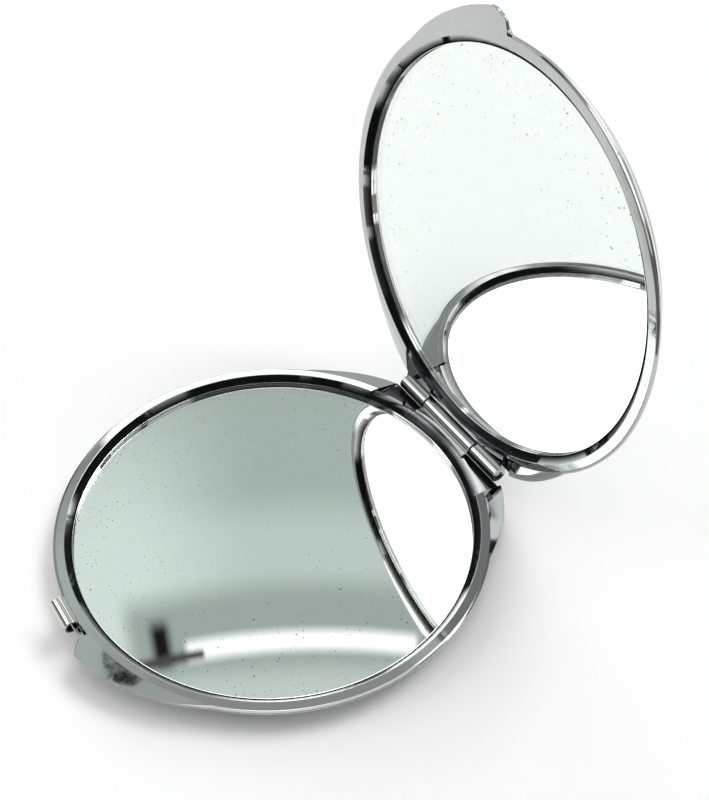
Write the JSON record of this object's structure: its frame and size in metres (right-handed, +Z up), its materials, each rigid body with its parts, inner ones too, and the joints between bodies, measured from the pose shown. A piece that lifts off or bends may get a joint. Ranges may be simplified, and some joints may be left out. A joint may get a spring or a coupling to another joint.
{
  "type": "compact mirror",
  "caption": "Round folding pocket mirror: chromed halves on a pin hinge with a glass mirror in each, thumb tabs and a rolled spring catch.",
  "frame": {"origin": "centre of the lower half's round outside face, which lies on the table", "axes": "+Z up, square to the lower half; +Y towards the hinge; the hinge axis lies along X and the catch is at the front, -Y"},
  "size_m": [0.066, 0.0779, 0.0738],
  "materials": {
    "shell": "bright chrome plate",
    "mirror_glass": "polished clear glass",
    "silvering": "silvered and painted on the back",
    "pad": "matt foam with adhesive",
    "steel": "drawn steel",
    "spring_steel": "bright plated spring strip"
  },
  "bodies": {
    "base": {"base_shell": "shell", "base_mirror_glass": "mirror_glass", "base_mirror_silvering": "silvering", "base_mirror_pad": "pad", "hinge_pin": "steel", "latch_foot": "spring_steel", "latch_rivet": "steel"},
    "lid": {"lid_shell": "shell", "lid_mirror_glass": "mirror_glass", "lid_mirror_silvering": "silvering", "lid_mirror_pad": "pad"},
    "latch": {"latch_roll": "spring_steel"}
  },
  "joints": [
    {"name": "lid_hinge", "type": "hinge", "parent": "base", "child": "lid", "pos_m": [-0.00085, 0.03412, 0.0043], "axis": [-1, 0, 0], "range_deg": [-93.6, 86.4]},
    {"name": "latch_flex", "type": "hinge", "parent": "base", "child": "latch", "pos_m": [0, -0.0308, 0.00155], "axis": [1, 0, 0], "range_deg": [0, 8], "stiffness_Nm_per_rad": 0.05}
  ]
}
